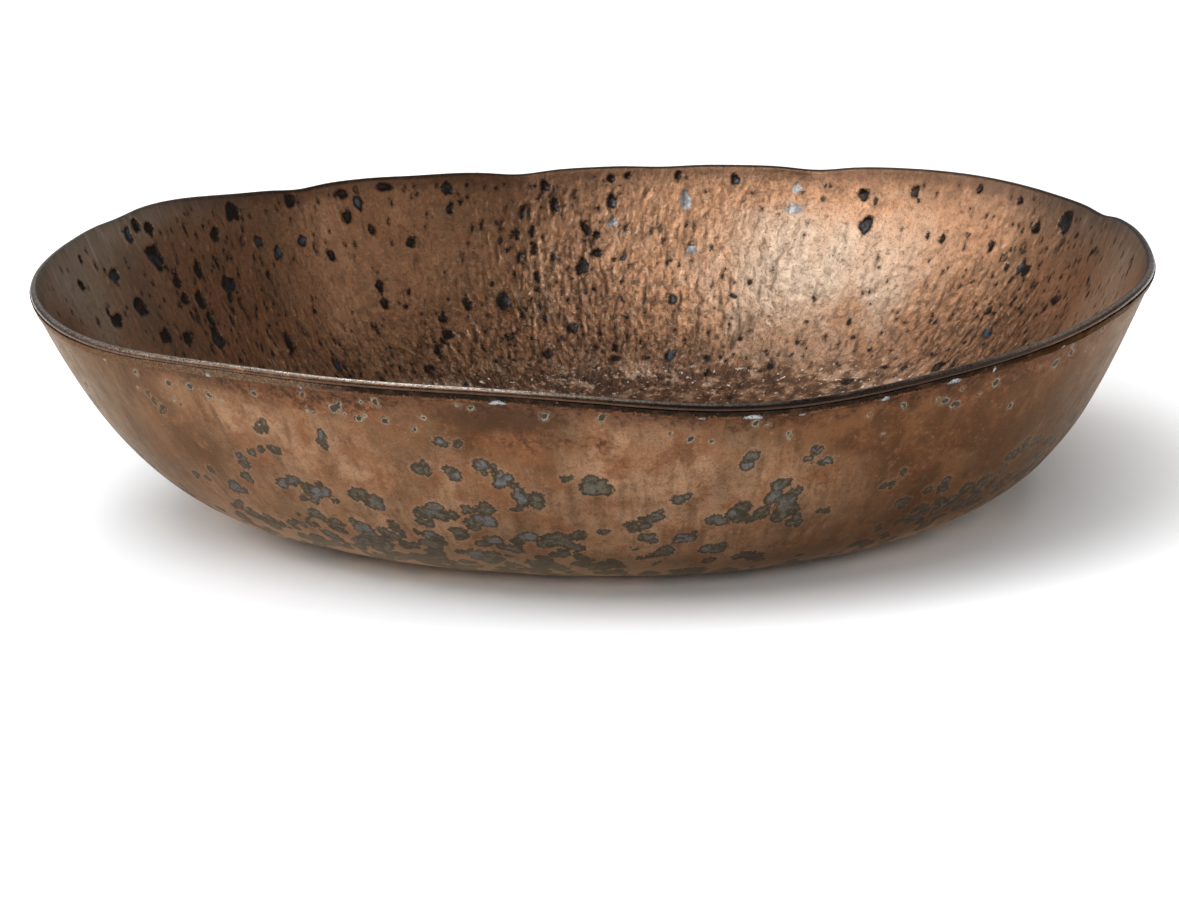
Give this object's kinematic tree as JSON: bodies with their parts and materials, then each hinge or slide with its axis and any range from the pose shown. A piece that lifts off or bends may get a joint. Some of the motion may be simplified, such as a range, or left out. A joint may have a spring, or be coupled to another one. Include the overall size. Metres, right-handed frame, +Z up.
{
  "type": "copper bowl",
  "caption": "Wide shallow copper bowl with an uneven hand-raised outline, a flat underside, a pitted lining and a dark banded rim.",
  "frame": {"origin": "middle of the flat underside, on the surface that the bowl stands on", "axes": "+Z up, square to the flat underside; +X to the right and +Y away, seen from the side where the rim dips lowest"},
  "size_m": [0.3814, 0.3765, 0.0902],
  "materials": {
    "outer_copper": "smooth brown copper patina with dark grey-blue blotches",
    "pitted_copper": "satin copper, densely pitted, with dark pits",
    "rim_wire": "drawn copper wire, bright",
    "rim_band": "burnished copper strip, almost black"
  },
  "bodies": {
    "root": {"outer_skin": "outer_copper", "inner_skin": "pitted_copper", "rim_wire": "rim_wire", "rim_band": "rim_band"}
  },
  "joints": []
}
